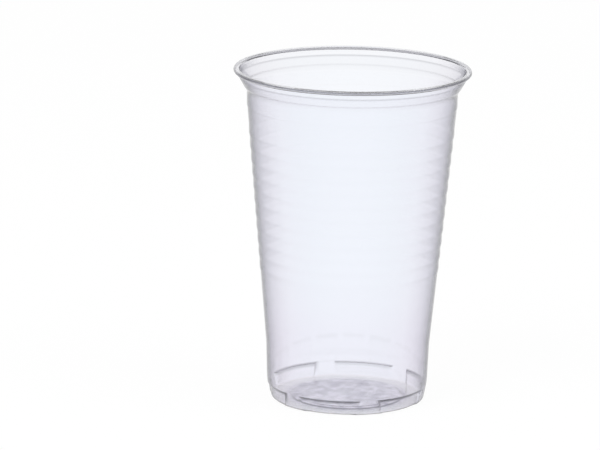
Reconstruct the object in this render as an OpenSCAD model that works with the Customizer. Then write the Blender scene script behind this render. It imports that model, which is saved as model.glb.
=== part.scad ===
// Clear plastic disposable cup, formed in one piece from a heated sheet.
// The origin is the middle of the foot, on the surface that the cup stands on, and +Z points up.

/* [Overall] */
// Height from the foot to the top of the rolled lip
cup_h = 100.5; // [90:0.5:130]
// Thickness of the side wall
wall = 0.2; // [0.15:0.01:0.3]
// Thickness of the floor
floor_t = 0.26; // [0.2:0.01:0.5]

/* [Rolled lip] */
// Outside diameter across the rolled lip
lip_d = 70.9; // [69:0.1:76]
// Height of the roll
lip_h = 1.2; // [1:0.05:1.6]
// Width of the roll, from the inside of the mouth to its outside
lip_w = 1.85; // [1.7:0.05:2.1]
// Thickness of the sheet in the roll, the collar and the upper part of the flare
lip_wall = 0.3; // [0.25:0.01:0.35]
// Height of the upright collar between the flare and the roll
collar_h = 1.35; // [0.5:0.05:2]

/* [Flare and neck] */
// Diameter of the upright neck, just below the flare
neck_d = 62.8; // [62.6:0.1:63.8]
// Height of the neck, from the shoulder to the flare
neck_h = 4.25; // [3:0.05:6]
// Height of the flare, from the neck to the collar
flare_h = 4.2; // [3.4:0.05:6]
// Height from the neck to the line where the sheet of the flare thickens
crease_h = 1.5; // [1.2:0.05:2.2]
// Draft of the neck, as the radius that it loses from its top to its foot
neck_draft = 0.05; // [0:0.01:0.1]

/* [Tapered wall] */
// Diameter at the top of the tapered wall, just below the shoulder
taper_top_d = 62.4; // [61.5:0.1:62.5]
// Diameter at the foot of the tapered wall, where it meets the stacking band
taper_low_d = 49.02; // [48.6:0.02:52]
// Height of the small shoulder between the tapered wall and the neck
shoulder_h = 0.35; // [0.2:0.05:1]

/* [Grip rings] */
// Number of raised rings round the tapered wall
ring_n = 11; // [3:1:12]
// Distance from the shoulder down to the crest of the top ring
ring_drop = 8.25; // [4:0.05:14]
// Distance from crest to crest
ring_pitch = 4.09; // [3:0.01:4.3]
// Height over which a ring draws in again below its crest
ring_fall = 1.35; // [0.8:0.05:2]
// How far a crest stands out from the tapered wall
ring_out = 0.15; // [0.05:0.01:0.3]

/* [Stacking band] */
// Height of the nearly upright band above the foot
band_h = 16.6; // [14:0.2:22]
// Diameter at the lower end of the band
band_low_d = 48.36; // [47.8:0.02:48.9]
// Height at which the band starts to draw in towards the foot
tuck_h = 7; // [5.5:0.1:9]

/* [Foot and floor] */
// Outside diameter of the foot, above its rounded edge
foot_d = 46.6; // [46:0.1:47.4]
// Radius of the rounded edge of the foot
foot_round = 1; // [0.8:0.1:2]
// Diameter of the raised middle of the floor, at its lower edge
panel_d = 33.8; // [24:0.2:38]
// Height by which the middle of the floor is raised
panel_rise = 0.6; // [0.2:0.05:1.5]
// Width of the slope at the edge of the raised middle
panel_slope = 1; // [0.5:0.1:2]

/* [Stacking ledges] */
// Number of pockets pressed into the foot of the band
ledge_n = 6; // [3:1:7]
// Height of the ledge that closes each pocket
ledge_z = 4.1; // [3.2:0.1:5]
// Width of the ledge
ledge_w = 1; // [0.7:0.05:1.4]
// Angle that one pocket takes up at the outside of the cup
ledge_arc = 46; // [30:1:48]
// Lean of the sloped ends of a pocket, away from the radial direction
ledge_lean = 45; // [20:5:60]
// Turn of the first pocket away from the front, which is -Y
ledge_turn = -13.2; // [-30:0.1:30]

/* [Hidden] */
$fn = 120;
// Points on one bend of the outline
bend_n = 6;
// Points on the slope above the crest of a ring, and on the slope below it
ring_above_n = 4;
ring_below_n = 3;
// Length by which a cutting shape runs past what it cuts
past = 1;
lip_r = lip_d / 2;
lip_in_r = lip_r - lip_w;
lip_z = cup_h - lip_h;
// Radius of the bends of the roll, and their middles on its outside and on its inside
roll_bend = lip_h / 2;
roll_z = cup_h - roll_bend;
roll_out_r = lip_r - roll_bend;
roll_in_r = lip_in_r + roll_bend;
neck_r = neck_d / 2;
collar_z = lip_z - collar_h;
neck_top_z = collar_z - flare_h;
neck_low_z = neck_top_z - neck_h;
shoulder_z = neck_low_z - shoulder_h;
crease_z = neck_top_z + crease_h;
flare_lean = (lip_in_r + wall - neck_r) / flare_h;
// Height of the crest of the lowest ring, and of the upper edge of the top ring
ring_low_z = shoulder_z - ring_drop - (ring_n - 1) * ring_pitch;
ring_top_z = shoulder_z - ring_drop + ring_pitch - ring_fall;
// Reach of the soft bends at the neck and at the top of the band
neck_bend = 0.8;
band_bend = 1.2;
// How far the drawn-in part of the band stays inside the line of the band at its middle
tuck_ease = 0.12;
taper_lean = (taper_top_d - taper_low_d) / 2 / (shoulder_z - band_h);
band_lean = (taper_low_d - band_low_d) / 2 / (band_h - tuck_h);
foot_r = foot_d / 2;
panel_r = panel_d / 2;

// Points on a circle of the given radius about [x, y], from angle a to angle b
function arc(x, y, radius, a, b) =
    [for (i = [0:bend_n]) let (t = a + (b - a) * i / bend_n) [x + radius * cos(t), y + radius * sin(t)]];

// Points on a soft bend that leaves a towards b and arrives at c
function bend(a, b, c) =
    [for (i = [0:bend_n]) let (t = i / bend_n) (1 - t) * (1 - t) * a + 2 * t * (1 - t) * b + t * t * c];

// Radius of the tapered wall, of the band and of the flare, on the outside, at height z
function taper_r(z) = taper_low_d / 2 + (z - band_h) * taper_lean;
function band_r(z) = band_low_d / 2 + (z - tuck_h) * band_lean;
function flare_r(z) = neck_r + (z - neck_top_z) * flare_lean;

// The drawn-in lower end of the band, from the foot up
function tuck_points() =
    bend([foot_r, foot_round],
         [band_r(tuck_h) - tuck_ease, (foot_round + tuck_h) / 2],
         [band_r(tuck_h), tuck_h]);

// Outside radius of the cup at the height of the ledges
ledge_r = lookup(ledge_z, [for (p = tuck_points()) [p[1], p[0]]]);
pocket_r = ledge_r - ledge_w;

// A point of the tapered wall at height z, in a ring that is at the given share of its rise
function ring_point(z, share) = [taper_r(z) + ring_out * (1 - cos(180 * share)) / 2, z];

// One raised ring of the tapered wall, with its crest at height z, up to just short of the next one
function ring_points(z) = concat(
    [for (i = [0:ring_below_n - 1]) ring_point(z - ring_fall * (1 - i / ring_below_n), i / ring_below_n)],
    [for (i = [0:ring_above_n - 1])
        ring_point(z + (ring_pitch - ring_fall) * i / ring_above_n, 1 - i / ring_above_n)]);

// The side of the cup from the foot up to the top of the neck, at the given depth under its outside
function side_points(skin) = [
    for (p = tuck_points()) [p[0] - skin, p[1]],
    for (p = bend([band_r(band_h - band_bend), band_h - band_bend], [taper_r(band_h), band_h],
                  [taper_r(band_h + band_bend), band_h + band_bend])) [p[0] - skin, p[1]],
    for (k = [0:ring_n - 1], p = ring_points(ring_low_z + k * ring_pitch)) [p[0] - skin, p[1]],
    [taper_r(ring_top_z) - skin, ring_top_z],
    [taper_r(shoulder_z) - skin, shoulder_z],
    [neck_r - neck_draft - skin, neck_low_z],
    for (p = bend([neck_r, neck_top_z - neck_bend], [neck_r, neck_top_z],
                  [flare_r(neck_top_z + neck_bend), neck_top_z + neck_bend])) [p[0] - skin, p[1]]
];

// The floor of the cup from the axis to the foot, at the given depth above its underside
function floor_points(skin, radius) = [
    [0, panel_rise + skin],
    [panel_r - panel_slope, panel_rise + skin],
    [panel_r, skin],
    for (p = arc(radius - foot_round, foot_round, foot_round - skin, -90, 0)) p
];

// The outside of the cup, as a solid that is closed at the top
module outside() {
    rotate_extrude()
        polygon(concat(
            floor_points(0, foot_r),
            side_points(0),
            [[flare_r(crease_z), crease_z],
             [flare_r(crease_z + lip_wall) + lip_wall - wall, crease_z + lip_wall],
             [lip_in_r + lip_wall, collar_z],
             [lip_in_r + lip_wall, lip_z]],
            arc(roll_out_r, roll_z, roll_bend, -90, 0),
            arc(roll_out_r, roll_z, roll_bend, 0, 90),
            [[0, cup_h]]));
}

// The space inside the cup, open upwards past the lip
module inside() {
    rotate_extrude()
        polygon(concat(
            floor_points(floor_t, foot_r + floor_t - wall),
            side_points(wall),
            [[lip_in_r, collar_z]],
            arc(roll_in_r, roll_z, roll_bend, 180, 90),
            [[roll_in_r, cup_h + past],
             [0, cup_h + past]]));
}

// The hollow in the roll, open downwards between the free edge of the sheet and the flare
module roll_hollow() {
    hollow = roll_bend - lip_wall;
    rotate_extrude()
        polygon(concat(
            [[lip_in_r + lip_wall, lip_z - past]],
            arc(roll_in_r, roll_z, hollow, 180, 90),
            arc(roll_out_r, roll_z, hollow, 90, -90),
            [[roll_out_r, lip_z - past]]));
}

// Plan of one pocket with its middle on +X, whose sloped ends lie outwards by skin
module pocket_plan(skin) {
    end_in = (ledge_w + foot_round + past) / cos(ledge_lean);
    end_out = (lip_r - ledge_r) / cos(ledge_lean);
    lean_along = [cos(ledge_arc / 2 + ledge_lean), sin(ledge_arc / 2 + ledge_lean)];
    lean_off = [-lean_along[1], lean_along[0]];
    corner = ledge_r * [cos(ledge_arc / 2), sin(ledge_arc / 2)] + lean_off * skin;
    near = corner - lean_along * end_in;
    far = corner + lean_along * end_out;
    polygon([near, far, [far[0], -far[1]], [near[0], -near[1]]]);
}

// The pockets under the ledges, grown by skin towards the inside of the cup
module pockets(skin) {
    intersection() {
        rotate_extrude()
            polygon(concat(
                [[pocket_r - foot_round, -past]],
                arc(pocket_r - foot_round, foot_round, foot_round - skin, -90, 0),
                [[pocket_r - skin, ledge_z + skin],
                 [lip_r, ledge_z + skin],
                 [lip_r, -past]]));
        for (k = [0:ledge_n - 1])
            rotate([0, 0, -90 + ledge_turn + k * 360 / ledge_n])
                translate([0, 0, -2 * past])
                    linear_extrude(ledge_z + 4 * past)
                        pocket_plan(skin);
    }
}

module cup() {
    color([0.88, 0.9, 0.95, 0.6])
        difference() {
            outside();
            pockets(0);
            difference() {
                inside();
                pockets(wall);
            }
            roll_hollow();
        }
}

cup();
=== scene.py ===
"""Looks of the clear plastic disposable cup: formed sheet, plastic, floor, light and camera."""
import math

import bpy
import numpy as np
from mathutils import Matrix, Vector

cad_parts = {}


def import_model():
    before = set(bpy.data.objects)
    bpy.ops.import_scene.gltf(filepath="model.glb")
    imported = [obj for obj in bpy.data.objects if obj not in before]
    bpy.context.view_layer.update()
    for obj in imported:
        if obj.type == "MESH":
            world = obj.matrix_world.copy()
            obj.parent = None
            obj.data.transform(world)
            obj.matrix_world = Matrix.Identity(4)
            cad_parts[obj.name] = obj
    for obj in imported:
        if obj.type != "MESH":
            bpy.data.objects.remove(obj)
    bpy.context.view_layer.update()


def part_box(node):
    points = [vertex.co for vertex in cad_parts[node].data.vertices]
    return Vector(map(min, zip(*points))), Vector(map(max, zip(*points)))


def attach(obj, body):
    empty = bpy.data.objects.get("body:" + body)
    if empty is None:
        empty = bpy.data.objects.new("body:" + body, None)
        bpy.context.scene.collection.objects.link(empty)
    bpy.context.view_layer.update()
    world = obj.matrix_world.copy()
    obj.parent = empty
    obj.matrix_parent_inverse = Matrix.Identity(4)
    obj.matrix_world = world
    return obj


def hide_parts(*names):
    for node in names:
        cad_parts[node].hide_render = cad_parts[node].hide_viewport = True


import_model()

# Sizes in millimetres, as the solid has them. The height and the lip come from the frame
MM = 0.001
_, solid_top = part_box("cup")
CUP_H = solid_top.z / MM
LIP_R = max(solid_top.x, solid_top.y) / MM
WALL = 0.2
FLOOR_T = 0.26
LIP_W = 1.85
LIP_H = 1.2
LIP_WALL = 0.3
COLLAR_H = 1.35
NECK_R = 31.4
NECK_H = 4.25
NECK_DRAFT = 0.05
NECK_BEND = 0.8
FLARE_H = 4.2
CREASE_H = 1.5
SHOULDER_H = 0.35
TAPER_TOP_R = 31.2
TAPER_LOW_R = 24.51
BAND_H = 16.6
BAND_LOW_R = 24.18
BAND_BEND = 1.2
TUCK_H = 7.0
TUCK_EASE = 0.12
RINGS = 11
RING_DROP = 8.25
RING_PITCH = 4.09
RING_FALL = 1.35
RING_OUT = 0.15
FOOT_R = 23.3
FOOT_ROUND = 1.0
PANEL_R = 16.9
PANEL_RISE = 0.6
PANEL_SLOPE = 1.0
LEDGES = 6
LEDGE_Z = 4.1
LEDGE_W = 1.0
LEDGE_ARC = 46.0
LEDGE_LEAN = 45.0
LEDGE_TURN = -13.2

# Rounded corners, which the solid leaves sharp
LEDGE_IN_ROUND = 0.35
LEDGE_OUT_ROUND = 0.55
PANEL_ROUND = 0.5
SHOULDER_ROUND = 0.25
COLLAR_ROUND = 0.15
# Height over which the sheet thickens at the crease
CREASE_STEP = 0.1
# Rounding of the sloped ends of a pocket, as a share of its depth
END_ROUND = 0.4
# Degrees inside and outside the edge of a pocket within which its sloped end lies
END_SPAN = (3.2, 0.8)

# Steps and points along the outline, from the floor up to the lip
CORNER_STEPS = 4
FLOOR_SHARES = (0.25, 0.5, 0.75)
SEAT_POINTS = 3
FOOT_STEPS = 8
LOW_WALL_POINTS = 4
LEDGE_SHARES = (0.25, 0.5, 0.75)
LEDGE_STEPS = 5
TUCK_STEPS = 5
BAND_STEPS = 6
RING_BELOW_STEPS = 3
RING_ABOVE_STEPS = 4
SHOULDER_STEPS = 3
NECK_STEPS = 8
FLARE_POINTS = 9
FLARE_LOW_POINTS = 4
COLLAR_POINTS = 7
HOLLOW_STEPS = 6
EDGE_STEPS = 6
ROLL_STEPS = 18
ROLL_TOP_POINTS = 3
ROLL_IN_STEPS = 10
# Steps round the cup: at the end of a pocket, along a pocket and along the wall between two pockets
END_STEPS = 12
POCKET_STEPS = 11
GAP_STEPS = 5
# Least turn of a pocket's end, in radians, and a depth in millimetres that counts as none
LEAST_TURN = 0.05
TINY = 1e-6

# Heights and radii that follow from them
LIP_IN_R = LIP_R - LIP_W
LIP_Z = CUP_H - LIP_H
ROLL_BEND = LIP_H / 2
ROLL_Z = CUP_H - ROLL_BEND
ROLL_OUT_R = LIP_R - ROLL_BEND
ROLL_IN_R = LIP_IN_R + ROLL_BEND
HOLLOW = ROLL_BEND - LIP_WALL
COLLAR_Z = LIP_Z - COLLAR_H
NECK_TOP_Z = COLLAR_Z - FLARE_H
NECK_LOW_Z = NECK_TOP_Z - NECK_H
SHOULDER_Z = NECK_LOW_Z - SHOULDER_H
CREASE_Z = NECK_TOP_Z + CREASE_H
FLARE_LEAN = (LIP_IN_R + WALL - NECK_R) / FLARE_H
TAPER_LEAN = (TAPER_TOP_R - TAPER_LOW_R) / (SHOULDER_Z - BAND_H)
BAND_LEAN = (TAPER_LOW_R - BAND_LOW_R) / (BAND_H - TUCK_H)
RING_LOW_Z = SHOULDER_Z - RING_DROP - (RINGS - 1) * RING_PITCH
RING_TOP_Z = SHOULDER_Z - RING_DROP + RING_PITCH - RING_FALL

# Camera: the focal length is for a 36 mm sensor, and lengths are in metres
LENS = 290.0
SENSOR = 36.0
CAMERA_DISTANCE = 1.4077
CAMERA_HEIGHT = 0.38298
CAMERA_PITCH = math.radians(13.214)
CAMERA_YAW = math.radians(-0.6068)
CAMERA_ROLL = math.radians(0.95)

# Colour that one thickness of plain wall lets through, by how edge on it is seen, from 0 to 1. Its darkening
# towards edge on is partly the longer path through the sheet and mostly painted shade, for the darker
# surroundings that the edges mirror
WALL_TINTS = (
    (0.0, (0.94, 0.956, 0.992, 1)),
    (0.1, (0.925, 0.942, 0.978, 1)),
    (0.3, (0.91, 0.91, 0.953, 1)),
    (0.42, (0.845, 0.835, 0.883, 1)),
    (0.51, (0.765, 0.753, 0.805, 1)),
    (0.58, (0.66, 0.65, 0.705, 1)),
    (0.68, (0.485, 0.475, 0.53, 1)),
    (0.8, (0.12, 0.12, 0.15, 1)),
    (1.0, (0.02, 0.02, 0.03, 1)),
)
# The same for the rolled lip, its share on the collar, and the height in millimetres over which it sets in.
# Its dark end is painted shade for the dark lines where the roll mirrors a darker surround
LIP_TINTS = (
    (0.0, (0.95, 0.95, 0.97, 1)),
    (0.5, (0.9, 0.9, 0.93, 1)),
    (0.8, (0.76, 0.76, 0.81, 1)),
    (0.9, (0.45, 0.45, 0.5, 1)),
    (1.0, (0.1, 0.1, 0.12, 1)),
)
COLLAR_SHARE = 0.45
LIP_TINT_EASE = 0.15
# Painted shade on the crests of the rings, and how edge on they are seen where it starts and where it is full
RING_SHADE = 0.24
RING_EDGE_ON = (0.25, 0.55)
# What the wall's tint is multiplied by, from the foot up to this height in millimetres
LOW_TOP = 34.0
LOW_TINTS = (
    (0.06, (0.997, 0.987, 0.993, 1)),
    (0.4, (0.99, 0.976, 0.988, 1)),
    (1.0, (1.0, 1.0, 1.0, 1)),
)
# The frosted floor: the height up to which it reaches and its soft edge, in millimetres
FLOOR_TOP_Z = 0.45
FLOOR_EASE = 0.17
# The tints of its blotches, their size in millimetres and how much detail they have
FLOOR_TINTS = (
    (0.38, (0.88, 0.85, 0.93, 1)),
    (0.64, (0.57, 0.545, 0.63, 1)),
)
BLOTCH_SIZE = 3.2
BLOTCH_DETAIL = 3.0
# The tint of its rim, which sets in from this radius over this width, both in millimetres
RIM_TINT = (0.915, 0.905, 0.935, 1)
RIM_FROM = 17.6
RIM_EASE = 1.6
# Roughness of the clear wall and of the frosted floor, and how strongly the plastic bends light
WALL_HAZE = 0.04
FLOOR_HAZE = 0.14
IOR = 1.49

# Painted shade: dark lines that stand in for the edges' bending of light and darker reflections, with this
# tint where it is full
PAINTED_SHADE_TINT = (0.2, 0.2, 0.23, 1)
# Painted shade in the hollow of the roll, with its half height in millimetres, and on the outer bend of the
# roll. Both go by how far back they lie, from -1 at the front to 1
HOLLOW_SHADES = ((-1.0, 0.9), (-0.4, 0.95), (0.0, 0.6), (0.3, 0.5), (1.0, 0.72))
HOLLOW_HALF = 0.29
BEND_SHADES = ((-0.9, 0.0), (-0.6, 0.6), (-0.45, 1.0), (-0.05, 1.0), (0.1, 0.7), (0.6, 0.2), (0.9, 0.0))
# Play in millimetres in telling which points lie on the roll or on the crest of a ring
SLACK = 0.1
# Painted shade lines at the folds under the roll and at the crease: height in millimetres and strength, with
# one half height
FOLD_SHADES = ((97.8, 0.3), (95.3, 0.08))
FOLD_HALF = 0.22
# Painted shade on the edge of the raised floor and on the rim round it, in the front half, where this slope
# brings them in
PANEL_EDGE_SHADE = 0.9
PANEL_SHADE_R = 16.8
PANEL_SHADE_HALF = 0.4
RIM_SHADE = 0.2
FRONT_SLOPE = 2
# Painted shade lines at the ledges, round from the front one, with a half height in millimetres
LEDGE_SHADES = (0.75, 1.0, 0.5, 0.25, 0.4, 0.95)
LEDGE_SHADE_HALF = 0.5
# Painted shade lines at the two ends of the pocket under each ledge. Middle and half width are in degrees
# past the pocket's edge
END_SHADES = ((0, 0), (0.6, 0), (0, 0), (0, 0), (0.4, 0), (0, 1.6))
END_SHADE_AT = -0.7
END_SHADE_HALF = 1.6

# Floor and light: lengths in metres, angles in degrees above the horizon. A lamp has a name, a place, a size
# and its watts
WHITE = (1, 1, 1, 1)
FLOOR_COLOUR = (0.95, 0.95, 0.95, 1)
FLOOR_REACH = 3.0
FLOOR_DROP = 0.0001
FLOOR_GLOW = 0.96
SKY_WHITE_UP_TO = 12
SKY_DIM_FROM = 32
SKY_DIM = 0.7
SKY_LIGHT = 0.6
LAMPS = (
    ("key_lamp", (-0.7, -0.8, 1.2), 0.8, 12.0),
    ("fill_lamp", (0.9, -0.4, 0.9), 0.8, 6.0),
)


def taper_r(z):
    return TAPER_LOW_R + (z - BAND_H) * TAPER_LEAN


def band_r(z):
    return BAND_LOW_R + (z - TUCK_H) * BAND_LEAN


def flare_r(z):
    return NECK_R + (z - NECK_TOP_Z) * FLARE_LEAN


def tuck_r(z):
    """Radius of the drawn-in lower end of the band."""
    t = (z - FOOT_ROUND) / (TUCK_H - FOOT_ROUND)
    middle = BAND_LOW_R - TUCK_EASE
    return (1 - t) ** 2 * FOOT_R + 2 * t * (1 - t) * middle + t * t * BAND_LOW_R


LEDGE_R = tuck_r(LEDGE_Z)
POCKET_R = LEDGE_R - LEDGE_W


def arc(r, z, radius, start, end, steps):
    """Points on a circle about (r, z), from one angle in degrees to another."""
    turns = np.radians(np.linspace(start, end, steps + 1))
    return [(r + radius * math.cos(t), z + radius * math.sin(t)) for t in turns]


def bend(a, b, c, steps):
    """Points on a soft bend that leaves a towards b and arrives at c."""
    a, b, c = np.array(a), np.array(b), np.array(c)
    parts = np.linspace(0, 1, steps + 1)
    return [tuple((1 - t) ** 2 * a + 2 * t * (1 - t) * b + t * t * c) for t in parts]


def corner(a, b, c, reach, steps=CORNER_STEPS):
    """A soft corner at b, which starts and ends at this reach from it."""
    a, b, c = np.array(a), np.array(b), np.array(c)
    start = b + (a - b) / np.linalg.norm(a - b) * reach
    end = b + (c - b) / np.linalg.norm(c - b) * reach
    return bend(start, b, end, steps)


def between(a, b, count):
    """Points evenly spaced on the straight line from a to b, without its ends."""
    parts = np.linspace(0, 1, count + 2)[1:-1]
    return [(a[0] + (b[0] - a[0]) * t, a[1] + (b[1] - a[1]) * t) for t in parts]


def floor_points(skin, radius):
    """The floor from the axis to the foot, at this height above its underside."""
    middle = (0.0, PANEL_RISE + skin)
    inner = (PANEL_R - PANEL_SLOPE, PANEL_RISE + skin)
    outer = (PANEL_R, skin)
    seat = (radius - FOOT_ROUND, skin)
    rings = [(inner[0] * share, inner[1]) for share in FLOOR_SHARES]
    return (
        [middle, *rings, *corner(middle, inner, outer, PANEL_ROUND), *corner(inner, outer, seat, PANEL_ROUND)]
        + between(outer, seat, SEAT_POINTS)
        + arc(radius - FOOT_ROUND, FOOT_ROUND, FOOT_ROUND - skin, -90, 0, FOOT_STEPS)
    )


def foot_side(skin, pocket):
    """The side from the foot to just above the ledge, on the plain wall or in a pocket."""
    top = LEDGE_Z + LEDGE_OUT_ROUND
    wall_z = np.linspace(FOOT_ROUND, LEDGE_Z - LEDGE_IN_ROUND, LOW_WALL_POINTS + 2)[1:-1]
    if not pocket:
        ledge_z = np.linspace(LEDGE_Z - LEDGE_IN_ROUND, top, 2 * (LEDGE_STEPS + 1) + len(LEDGE_SHARES))
        return [(tuck_r(z) - skin, z) for z in (*wall_z, *ledge_z)]
    inner, outer = LEDGE_IN_ROUND + skin, LEDGE_OUT_ROUND - skin
    inner_r = POCKET_R - skin + inner
    outer_r = tuck_r(top) - skin - outer
    z = LEDGE_Z + skin
    return (
        [(POCKET_R - skin, z_wall) for z_wall in wall_z]
        + arc(inner_r, z - inner, inner, 180, 90, LEDGE_STEPS)
        + [(inner_r + (outer_r - inner_r) * share, z) for share in LEDGE_SHARES]
        + arc(outer_r, z + outer, outer, -90, 0, LEDGE_STEPS)
    )


def ring_points(z):
    """One raised ring of the tapered wall, with its crest at height z, up to just short of the next one."""
    below = [(z - RING_FALL * (1 - t), t) for t in np.linspace(0, 1, RING_BELOW_STEPS + 1)[:-1]]
    above = [(z + (RING_PITCH - RING_FALL) * t, 1 - t) for t in np.linspace(0, 1, RING_ABOVE_STEPS + 1)[:-1]]
    return [(taper_r(h) + RING_OUT * (1 - math.cos(math.pi * share)) / 2, h) for h, share in below + above]


def upper_side(skin):
    """The side from above the ledges to the top of the neck."""
    points = [(tuck_r(z), z) for z in np.linspace(LEDGE_Z + LEDGE_OUT_ROUND, TUCK_H, TUCK_STEPS + 1)[1:]]
    low_band = (band_r(BAND_H - BAND_BEND), BAND_H - BAND_BEND)
    high_band = (taper_r(BAND_H + BAND_BEND), BAND_H + BAND_BEND)
    points += bend(low_band, (taper_r(BAND_H), BAND_H), high_band, BAND_STEPS)
    for k in range(RINGS):
        points += ring_points(RING_LOW_Z + k * RING_PITCH)
    top_ring = (taper_r(RING_TOP_Z), RING_TOP_Z)
    points += [top_ring]
    shoulder = (taper_r(SHOULDER_Z), SHOULDER_Z)
    neck_low = (NECK_R - NECK_DRAFT, NECK_LOW_Z)
    neck_top = (NECK_R, NECK_TOP_Z - NECK_BEND)
    points += corner(top_ring, shoulder, neck_low, SHOULDER_ROUND / 2, SHOULDER_STEPS)
    points += corner(shoulder, neck_low, neck_top, SHOULDER_ROUND / 2, SHOULDER_STEPS)
    flare_low = (flare_r(NECK_TOP_Z + NECK_BEND), NECK_TOP_Z + NECK_BEND)
    points += bend(neck_top, (NECK_R, NECK_TOP_Z), flare_low, NECK_STEPS)
    return [(r - skin, z) for r, z in points]


def lip_points():
    """The flare's thicker part and the rolled lip, from outside the flare to inside the mouth."""
    thick_z = CREASE_Z + CREASE_STEP
    thin = (flare_r(CREASE_Z), CREASE_Z)
    thick = (flare_r(thick_z) + LIP_WALL - WALL, thick_z)
    thick_in = (flare_r(thick_z) - WALL, thick_z)
    flare_top = (flare_r(NECK_TOP_Z + NECK_BEND) - WALL, NECK_TOP_Z + NECK_BEND)
    roll_out = (LIP_IN_R + LIP_WALL, ROLL_Z)
    roll_in = (LIP_IN_R, ROLL_Z)
    out_fold = corner(thick, (LIP_IN_R + LIP_WALL, COLLAR_Z), roll_out, COLLAR_ROUND)
    in_fold = corner(roll_in, (LIP_IN_R, COLLAR_Z), thick_in, COLLAR_ROUND)
    edge_z = ROLL_Z - ROLL_BEND + LIP_WALL / 2
    return (
        [thin, thick]
        + between(thick, out_fold[0], FLARE_POINTS)
        + out_fold
        + between(out_fold[-1], roll_out, COLLAR_POINTS)
        + arc(ROLL_IN_R, ROLL_Z, HOLLOW, 180, 90, HOLLOW_STEPS)
        + arc(ROLL_OUT_R, ROLL_Z, HOLLOW, 90, -90, 2 * HOLLOW_STEPS)
        + arc(ROLL_OUT_R, edge_z, LIP_WALL / 2, 90, 270, EDGE_STEPS)[1:-1]
        + arc(ROLL_OUT_R, ROLL_Z, ROLL_BEND, -90, 90, ROLL_STEPS)
        + between((ROLL_OUT_R, CUP_H), (ROLL_IN_R, CUP_H), ROLL_TOP_POINTS)
        + arc(ROLL_IN_R, ROLL_Z, ROLL_BEND, 90, 180, ROLL_IN_STEPS)
        + between(roll_in, in_fold[0], COLLAR_POINTS)
        + in_fold
        + between(in_fold[-1], thick_in, FLARE_POINTS)
        + [thick_in]
        + between(thick_in, flare_top, FLARE_LOW_POINTS)
    )


def section(pocket):
    """The closed outline of the sheet as (radius, height), outside first, and how many points are outside."""
    edge = POCKET_R if pocket else FOOT_R
    outer = floor_points(0, edge) + foot_side(0, pocket) + upper_side(0) + lip_points()
    inner = floor_points(FLOOR_T, edge + FLOOR_T - WALL) + foot_side(WALL, pocket) + upper_side(WALL)
    return np.array(outer + inner[::-1]), len(outer)


def turns():
    """Angles round the cup in degrees, close together at the ends of the pockets."""
    half = LEDGE_ARC / 2
    gap = 360 / LEDGES - LEDGE_ARC
    inner, outer = END_SPAN
    end = np.linspace(-inner, outer, END_STEPS + 1)
    angles = []
    for k in range(LEDGES):
        middle = LEDGE_TURN - 90 + k * 360 / LEDGES
        angles += list(middle - half - end[::-1])
        angles += list(middle + np.linspace(inner - half, half - inner, POCKET_STEPS + 1)[1:-1])
        angles += list(middle + half + end)
        angles += list(middle + half + np.linspace(outer, gap - outer, GAP_STEPS + 1)[1:-1])
    return np.array(sorted(angles))


def eased(t, reach):
    """t held between 0 and 1, with both corners rounded over this reach."""
    def area(x):
        return np.where(x < 0, 0, np.where(x > 1, x - 0.5, x * x / 2))
    return (area(t + reach) - area(t - reach)) / (2 * reach)


def pocket_share(angles, plain_r, pocket_r, skin):
    """How far a point lies in a pocket, from 0 to 1, by its angle, two radii and depth in the sheet."""
    step = 360 / LEDGES
    off = np.abs((angles - LEDGE_TURN + 90 + step / 2) % step - step / 2)
    lean = np.radians(LEDGE_LEAN)
    turn = np.clip(lean - np.radians(off - LEDGE_ARC / 2), LEAST_TURN, math.pi / 2)
    end_r = (LEDGE_R * math.sin(lean) - skin) / np.sin(turn)
    depth = plain_r - pocket_r
    share = (plain_r - end_r) / np.maximum(depth, TINY)
    return np.where(depth > TINY, eased(share, END_ROUND), 0)


def band(value, middle, half):
    """1 near the middle, falling to 0 at one and a half times the half width."""
    return np.clip(1.5 - np.abs(value - middle) / half, 0, 1)


def lip_share(outline):
    """1 on the rolled lip, less on the collar and 0 below it."""
    heights = (COLLAR_Z, COLLAR_Z + LIP_TINT_EASE, LIP_Z, LIP_Z + LIP_TINT_EASE)
    return np.interp(outline[..., 1], heights, (0, COLLAR_SHARE, COLLAR_SHARE, 1))


def floor_share(outline):
    """1 on the floor, falling to 0 at the rounded edge of the foot."""
    r, z = outline[..., 0], outline[..., 1]
    return np.where(r < PANEL_R, 1, np.clip((FLOOR_TOP_Z - z) / FLOOR_EASE, 0, 1))


def rim_share(outline):
    """0 on the middle of the floor and 1 on its rim and outside it."""
    return np.clip((outline[..., 0] - RIM_FROM) / RIM_EASE, 0, 1)


def ring_share(outline):
    """1 at the crests of the rings and 0 between them."""
    z = outline[..., 1]
    off = np.abs((z - RING_LOW_Z + RING_PITCH / 2) % RING_PITCH - RING_PITCH / 2)
    at_crest = (off < SLACK) & (z > RING_LOW_Z - SLACK) & (z < RING_TOP_Z)
    return at_crest.astype(float)


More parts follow.
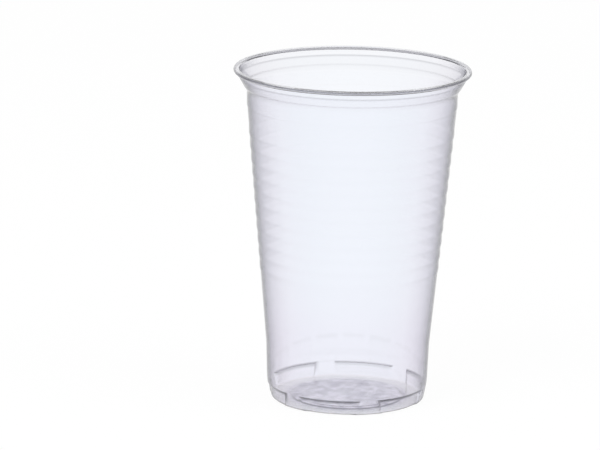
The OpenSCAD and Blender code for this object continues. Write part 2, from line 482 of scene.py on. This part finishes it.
def painted_shade_lines(outline, share, angles):
    """How much painted shade darkens the sheet, from 0 to 1, in lines at the roll, folds, floor edge, ledges
    and pocket ends.
    """
    r, z = outline[..., 0], outline[..., 1]
    step = 360 / LEDGES
    off = (angles - LEDGE_TURN + 90 + step / 2) % 360
    pocket = (off // step).astype(int)
    past_middle = off % step > step / 2
    back = np.sin(np.radians(angles))
    in_roll = (r > LIP_IN_R + LIP_WALL - SLACK) & (r < ROLL_OUT_R + HOLLOW + SLACK)
    hollow = np.interp(back, *zip(*HOLLOW_SHADES)) * band(z, ROLL_Z, HOLLOW_HALF) * in_roll
    outermost = np.clip((r - ROLL_OUT_R) / ROLL_BEND, 0, 1) * (z > LIP_Z)
    outer_bend = np.interp(back, *zip(*BEND_SHADES)) * outermost
    folds = sum(much * band(z, height, FOLD_HALF) for height, much in FOLD_SHADES)
    panel = PANEL_EDGE_SHADE * band(r, PANEL_SHADE_R, PANEL_SHADE_HALF) * (z < LEDGE_Z / 2)
    rim = RIM_SHADE * (r > PANEL_SHADE_R) * (z < FLOOR_TOP_Z)
    panel = np.maximum(panel, rim) * np.clip(-FRONT_SLOPE * back, 0, 1)
    ledge = np.array(LEDGE_SHADES)[pocket] * share * band(z, LEDGE_Z, LEDGE_SHADE_HALF)
    end_much = np.array(END_SHADES)[pocket, past_middle.astype(int)]
    end_low = np.clip((z - FOOT_ROUND) / (LEDGE_Z - FOOT_ROUND), 0, 1)
    past_edge = np.abs(off % step - step / 2) - LEDGE_ARC / 2
    end = end_much * band(past_edge, END_SHADE_AT, END_SHADE_HALF) * end_low * (z < LEDGE_Z + LEDGE_OUT_ROUND)
    return np.clip(np.max([hollow, outer_bend, folds, panel, ledge, end], axis=0), 0, 1)


def cup_mesh():
    """The formed sheet as one closed mesh, in metres, with the shares that its plastic reads."""
    plain, outer_n = section(False)
    pocket, _ = section(True)
    angles = turns()
    skin = np.where(np.arange(len(plain)) < outer_n, 0, WALL)[:, None]
    share = pocket_share(angles, plain[:, :1], pocket[:, :1], skin)
    outline = plain[:, None, :] * (1 - share[..., None]) + pocket[:, None, :] * share[..., None]
    turn = np.radians(angles)
    x = outline[..., 0] * np.cos(turn)
    y = outline[..., 0] * np.sin(turn)
    rings = np.stack([x, y, outline[..., 1]], axis=-1) * MM
    rows, columns = rings.shape[:2]
    shares = {
        "lip_share": lip_share(outline),
        "floor_share": floor_share(outline),
        "rim_share": rim_share(outline),
        "ring_share": ring_share(outline),
        "painted_shade_share": painted_shade_lines(outline, share, angles),
    }
    body = rings[1:-1].reshape(-1, 3)
    poles = np.array([rings[0, 0], rings[-1, 0]])
    first, last = len(body), len(body) + 1
    index = np.arange((rows - 2) * columns).reshape(rows - 2, columns)
    beside = np.roll(index, -1, axis=1)
    quads = np.stack([index[:-1], beside[:-1], beside[1:], index[1:]], axis=-1).reshape(-1, 4)
    under = [(first, int(b), int(a)) for a, b in zip(index[0], beside[0])]
    over = [(last, int(a), int(b)) for a, b in zip(index[-1], beside[-1])]
    mesh = bpy.data.meshes.new("cup_sheet")
    mesh.from_pydata(np.vstack([body, poles]).tolist(), [], quads.tolist() + under + over)
    for name, values in shares.items():
        values = np.append(values[1:-1].ravel(), (0, 0))
        mesh.attributes.new(name, "FLOAT", "POINT").data.foreach_set("value", values)
    mesh.validate()
    mesh.polygons.foreach_set("use_smooth", [True] * len(mesh.polygons))
    mesh.update()
    return mesh


def ramp(nodes, links, value, tints):
    """A colour ramp through these tints, driven by a value."""
    node = nodes.new("ShaderNodeValToRGB")
    stops = node.color_ramp.elements
    stops[0].position, stops[0].color = tints[0]
    stops[1].position, stops[1].color = tints[-1]
    for place, colour in tints[1:-1]:
        stops.new(place).color = colour
    links.new(value, node.inputs["Fac"])
    return node.outputs["Color"]


def kept_share(nodes, name):
    """One of the shares that the mesh keeps."""
    node = nodes.new("ShaderNodeAttribute")
    node.attribute_name = name
    return node.outputs["Fac"]


def mixed(nodes, links, factor, first, second):
    """One colour passing into another, which may be a constant, by a factor."""
    node = nodes.new("ShaderNodeMix")
    node.data_type = "RGBA"
    links.new(factor, node.inputs["Factor"])
    links.new(first, node.inputs["A"])
    if isinstance(second, tuple):
        node.inputs["B"].default_value = second
    else:
        links.new(second, node.inputs["B"])
    return node.outputs["Result"]


def clear_plastic():
    """Thin clear plastic, faintly blue and darker where it is seen edge on, partly by the longer path and
    mostly as painted shade, with painted shade lines and a frosted floor.
    """
    material = bpy.data.materials.new("clear_plastic")
    material.use_nodes = True
    nodes, links = material.node_tree.nodes, material.node_tree.links
    plastic = nodes["Principled BSDF"]
    plastic.inputs["Transmission Weight"].default_value = 1.0
    plastic.inputs["IOR"].default_value = IOR

    # Tints by how edge on the sheet is seen: partly the longer path, mostly painted shade on the edges and on
    # the lip
    facing = nodes.new("ShaderNodeLayerWeight")
    wall_tint = ramp(nodes, links, facing.outputs["Facing"], WALL_TINTS)
    lip_tint = ramp(nodes, links, facing.outputs["Facing"], LIP_TINTS)

    where = nodes.new("ShaderNodeTexCoord")
    split = nodes.new("ShaderNodeSeparateXYZ")
    links.new(where.outputs["Object"], split.inputs[0])
    height = nodes.new("ShaderNodeMapRange")
    height.inputs["From Max"].default_value = LOW_TOP * MM
    links.new(split.outputs["Z"], height.inputs["Value"])
    low_tint = ramp(nodes, links, height.outputs["Result"], LOW_TINTS)
    lower_tint = nodes.new("ShaderNodeMix")
    lower_tint.data_type = "RGBA"
    lower_tint.blend_type = "MULTIPLY"
    lower_tint.inputs["Factor"].default_value = 1.0
    links.new(wall_tint, lower_tint.inputs["A"])
    links.new(low_tint, lower_tint.inputs["B"])

    blotches = nodes.new("ShaderNodeTexNoise")
    blotches.inputs["Scale"].default_value = 1 / (BLOTCH_SIZE * MM)
    blotches.inputs["Detail"].default_value = BLOTCH_DETAIL
    links.new(where.outputs["Object"], blotches.inputs["Vector"])
    floor_tint = ramp(nodes, links, blotches.outputs["Fac"], FLOOR_TINTS)

    # Painted shade streaks on the crests of the rings, stronger where they are seen edge on
    edge_on = nodes.new("ShaderNodeMapRange")
    edge_on.inputs["From Min"].default_value, edge_on.inputs["From Max"].default_value = RING_EDGE_ON
    edge_on.inputs["To Max"].default_value = RING_SHADE
    links.new(facing.outputs["Facing"], edge_on.inputs["Value"])
    streak = nodes.new("ShaderNodeMath")
    streak.operation = "MULTIPLY"
    links.new(edge_on.outputs["Result"], streak.inputs[0])
    links.new(kept_share(nodes, "ring_share"), streak.inputs[1])

    with_rings = mixed(nodes, links, streak.outputs[0], lower_tint.outputs["Result"], PAINTED_SHADE_TINT)
    with_lip = mixed(nodes, links, kept_share(nodes, "lip_share"), with_rings, lip_tint)
    whole_floor = mixed(nodes, links, kept_share(nodes, "rim_share"), floor_tint, RIM_TINT)
    with_floor = mixed(nodes, links, kept_share(nodes, "floor_share"), with_lip, whole_floor)
    # Painted shade lines, from the share that the mesh keeps
    with_painted_shade = mixed(nodes, links, kept_share(nodes, "painted_shade_share"), with_floor, PAINTED_SHADE_TINT)
    links.new(with_painted_shade, plastic.inputs["Base Color"])

    haze = nodes.new("ShaderNodeMapRange")
    haze.inputs["To Min"].default_value = WALL_HAZE
    haze.inputs["To Max"].default_value = FLOOR_HAZE
    links.new(kept_share(nodes, "floor_share"), haze.inputs["Value"])
    links.new(haze.outputs["Result"], plastic.inputs["Roughness"])
    return material


def backdrop_share(nodes, links):
    """Two shares: 1 for camera, mirrored and passed-through rays, and 1 for camera rays alone."""
    path = nodes.new("ShaderNodeLightPath")
    shiny = nodes.new("ShaderNodeMath")
    shiny.operation = "MAXIMUM"
    links.new(path.outputs["Is Glossy Ray"], shiny.inputs[0])
    links.new(path.outputs["Is Transmission Ray"], shiny.inputs[1])
    seen = nodes.new("ShaderNodeMath")
    seen.operation = "MAXIMUM"
    links.new(path.outputs["Is Camera Ray"], seen.inputs[0])
    links.new(shiny.outputs[0], seen.inputs[1])
    return seen.outputs[0], path.outputs["Is Camera Ray"]


def floor():
    """A pale floor that keeps the cup's shadow."""
    mesh = bpy.data.meshes.new("floor")
    square = ((-1, -1), (1, -1), (1, 1), (-1, 1))
    corners = [(x * FLOOR_REACH, y * FLOOR_REACH, -FLOOR_DROP) for x, y in square]
    mesh.from_pydata(corners, [], [(0, 1, 2, 3)])
    plane = bpy.data.objects.new("floor", mesh)
    bpy.context.scene.collection.objects.link(plane)
    material = bpy.data.materials.new("pale_floor")
    material.use_nodes = True
    nodes, links = material.node_tree.nodes, material.node_tree.links
    nodes.remove(nodes["Principled BSDF"])
    paint = nodes.new("ShaderNodeBsdfDiffuse")
    paint.inputs["Color"].default_value = FLOOR_COLOUR
    glow = nodes.new("ShaderNodeEmission")
    glow.inputs["Color"].default_value = WHITE
    kept = nodes.new("ShaderNodeMath")
    kept.operation = "MULTIPLY"
    kept.inputs[1].default_value = FLOOR_GLOW
    links.new(backdrop_share(nodes, links)[0], kept.inputs[0])
    mix = nodes.new("ShaderNodeMixShader")
    links.new(kept.outputs[0], mix.inputs["Fac"])
    links.new(paint.outputs[0], mix.inputs[1])
    links.new(glow.outputs[0], mix.inputs[2])
    links.new(mix.outputs[0], nodes["Material Output"].inputs["Surface"])
    mesh.materials.append(material)


def world():
    """White all round for the camera, and dimmer overhead for the plastic, as by a lit backdrop."""
    sky = bpy.data.worlds.new("studio")
    bpy.context.scene.world = sky
    sky.use_nodes = True
    nodes, links = sky.node_tree.nodes, sky.node_tree.links
    where = nodes.new("ShaderNodeTexCoord")
    split = nodes.new("ShaderNodeSeparateXYZ")
    links.new(where.outputs["Generated"], split.inputs[0])
    dimming = nodes.new("ShaderNodeMapRange")
    dimming.interpolation_type = "SMOOTHSTEP"
    dimming.inputs["From Min"].default_value = math.sin(math.radians(SKY_WHITE_UP_TO))
    dimming.inputs["From Max"].default_value = math.sin(math.radians(SKY_DIM_FROM))
    dimming.inputs["To Min"].default_value = 1.0
    dimming.inputs["To Max"].default_value = SKY_DIM
    links.new(split.outputs["Z"], dimming.inputs["Value"])
    seen, straight = backdrop_share(nodes, links)
    mirrored = nodes.new("ShaderNodeMix")
    mirrored.inputs["A"].default_value = SKY_LIGHT
    links.new(seen, mirrored.inputs["Factor"])
    links.new(dimming.outputs["Result"], mirrored.inputs["B"])
    strength = nodes.new("ShaderNodeMix")
    strength.inputs["B"].default_value = 1.0
    links.new(straight, strength.inputs["Factor"])
    links.new(mirrored.outputs["Result"], strength.inputs["A"])
    background = nodes["Background"]
    background.inputs["Color"].default_value = WHITE
    links.new(strength.outputs["Result"], background.inputs["Strength"])


def lamps():
    """Two soft lamps from the front, which the plastic doesn't mirror."""
    for name, place, size, power in LAMPS:
        lamp = bpy.data.lights.new(name, "AREA")
        lamp.size = size
        lamp.energy = power
        holder = bpy.data.objects.new(name, lamp)
        holder.location = place
        holder.visible_glossy = False
        holder.visible_transmission = False
        aim = Vector((0, 0, CUP_H * MM / 2)) - Vector(place)
        holder.rotation_euler = aim.to_track_quat("-Z", "Y").to_euler()
        bpy.context.scene.collection.objects.link(holder)


def camera():
    """The camera at the photograph's place and angle."""
    data = bpy.data.cameras.new("camera")
    data.sensor_fit = "HORIZONTAL"
    data.sensor_width = SENSOR
    data.lens = LENS
    ahead = Matrix(((1, 0, 0), (0, 0, -1), (0, 1, 0)))
    yaw = Matrix.Rotation(-CAMERA_YAW, 3, "Y")
    pitch = Matrix.Rotation(CAMERA_PITCH, 3, "X")
    roll = Matrix.Rotation(CAMERA_ROLL, 3, "Z")
    right, down, forward = roll @ pitch @ yaw @ ahead
    axes = Matrix((right, -down, -forward)).transposed().to_4x4()
    place = Matrix.Translation((0, -CAMERA_DISTANCE, CAMERA_HEIGHT))
    holder = bpy.data.objects.new("camera", data)
    holder.matrix_world = place @ axes
    bpy.context.scene.collection.objects.link(holder)
    bpy.context.scene.camera = holder


camera()
cup = bpy.data.objects.new("cup_sheet", cup_mesh())
bpy.context.scene.collection.objects.link(cup)
cup.data.materials.append(clear_plastic())
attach(cup, "root")
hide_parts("cup")
floor()
world()
lamps()
bpy.context.scene.view_settings.view_transform = "Standard"
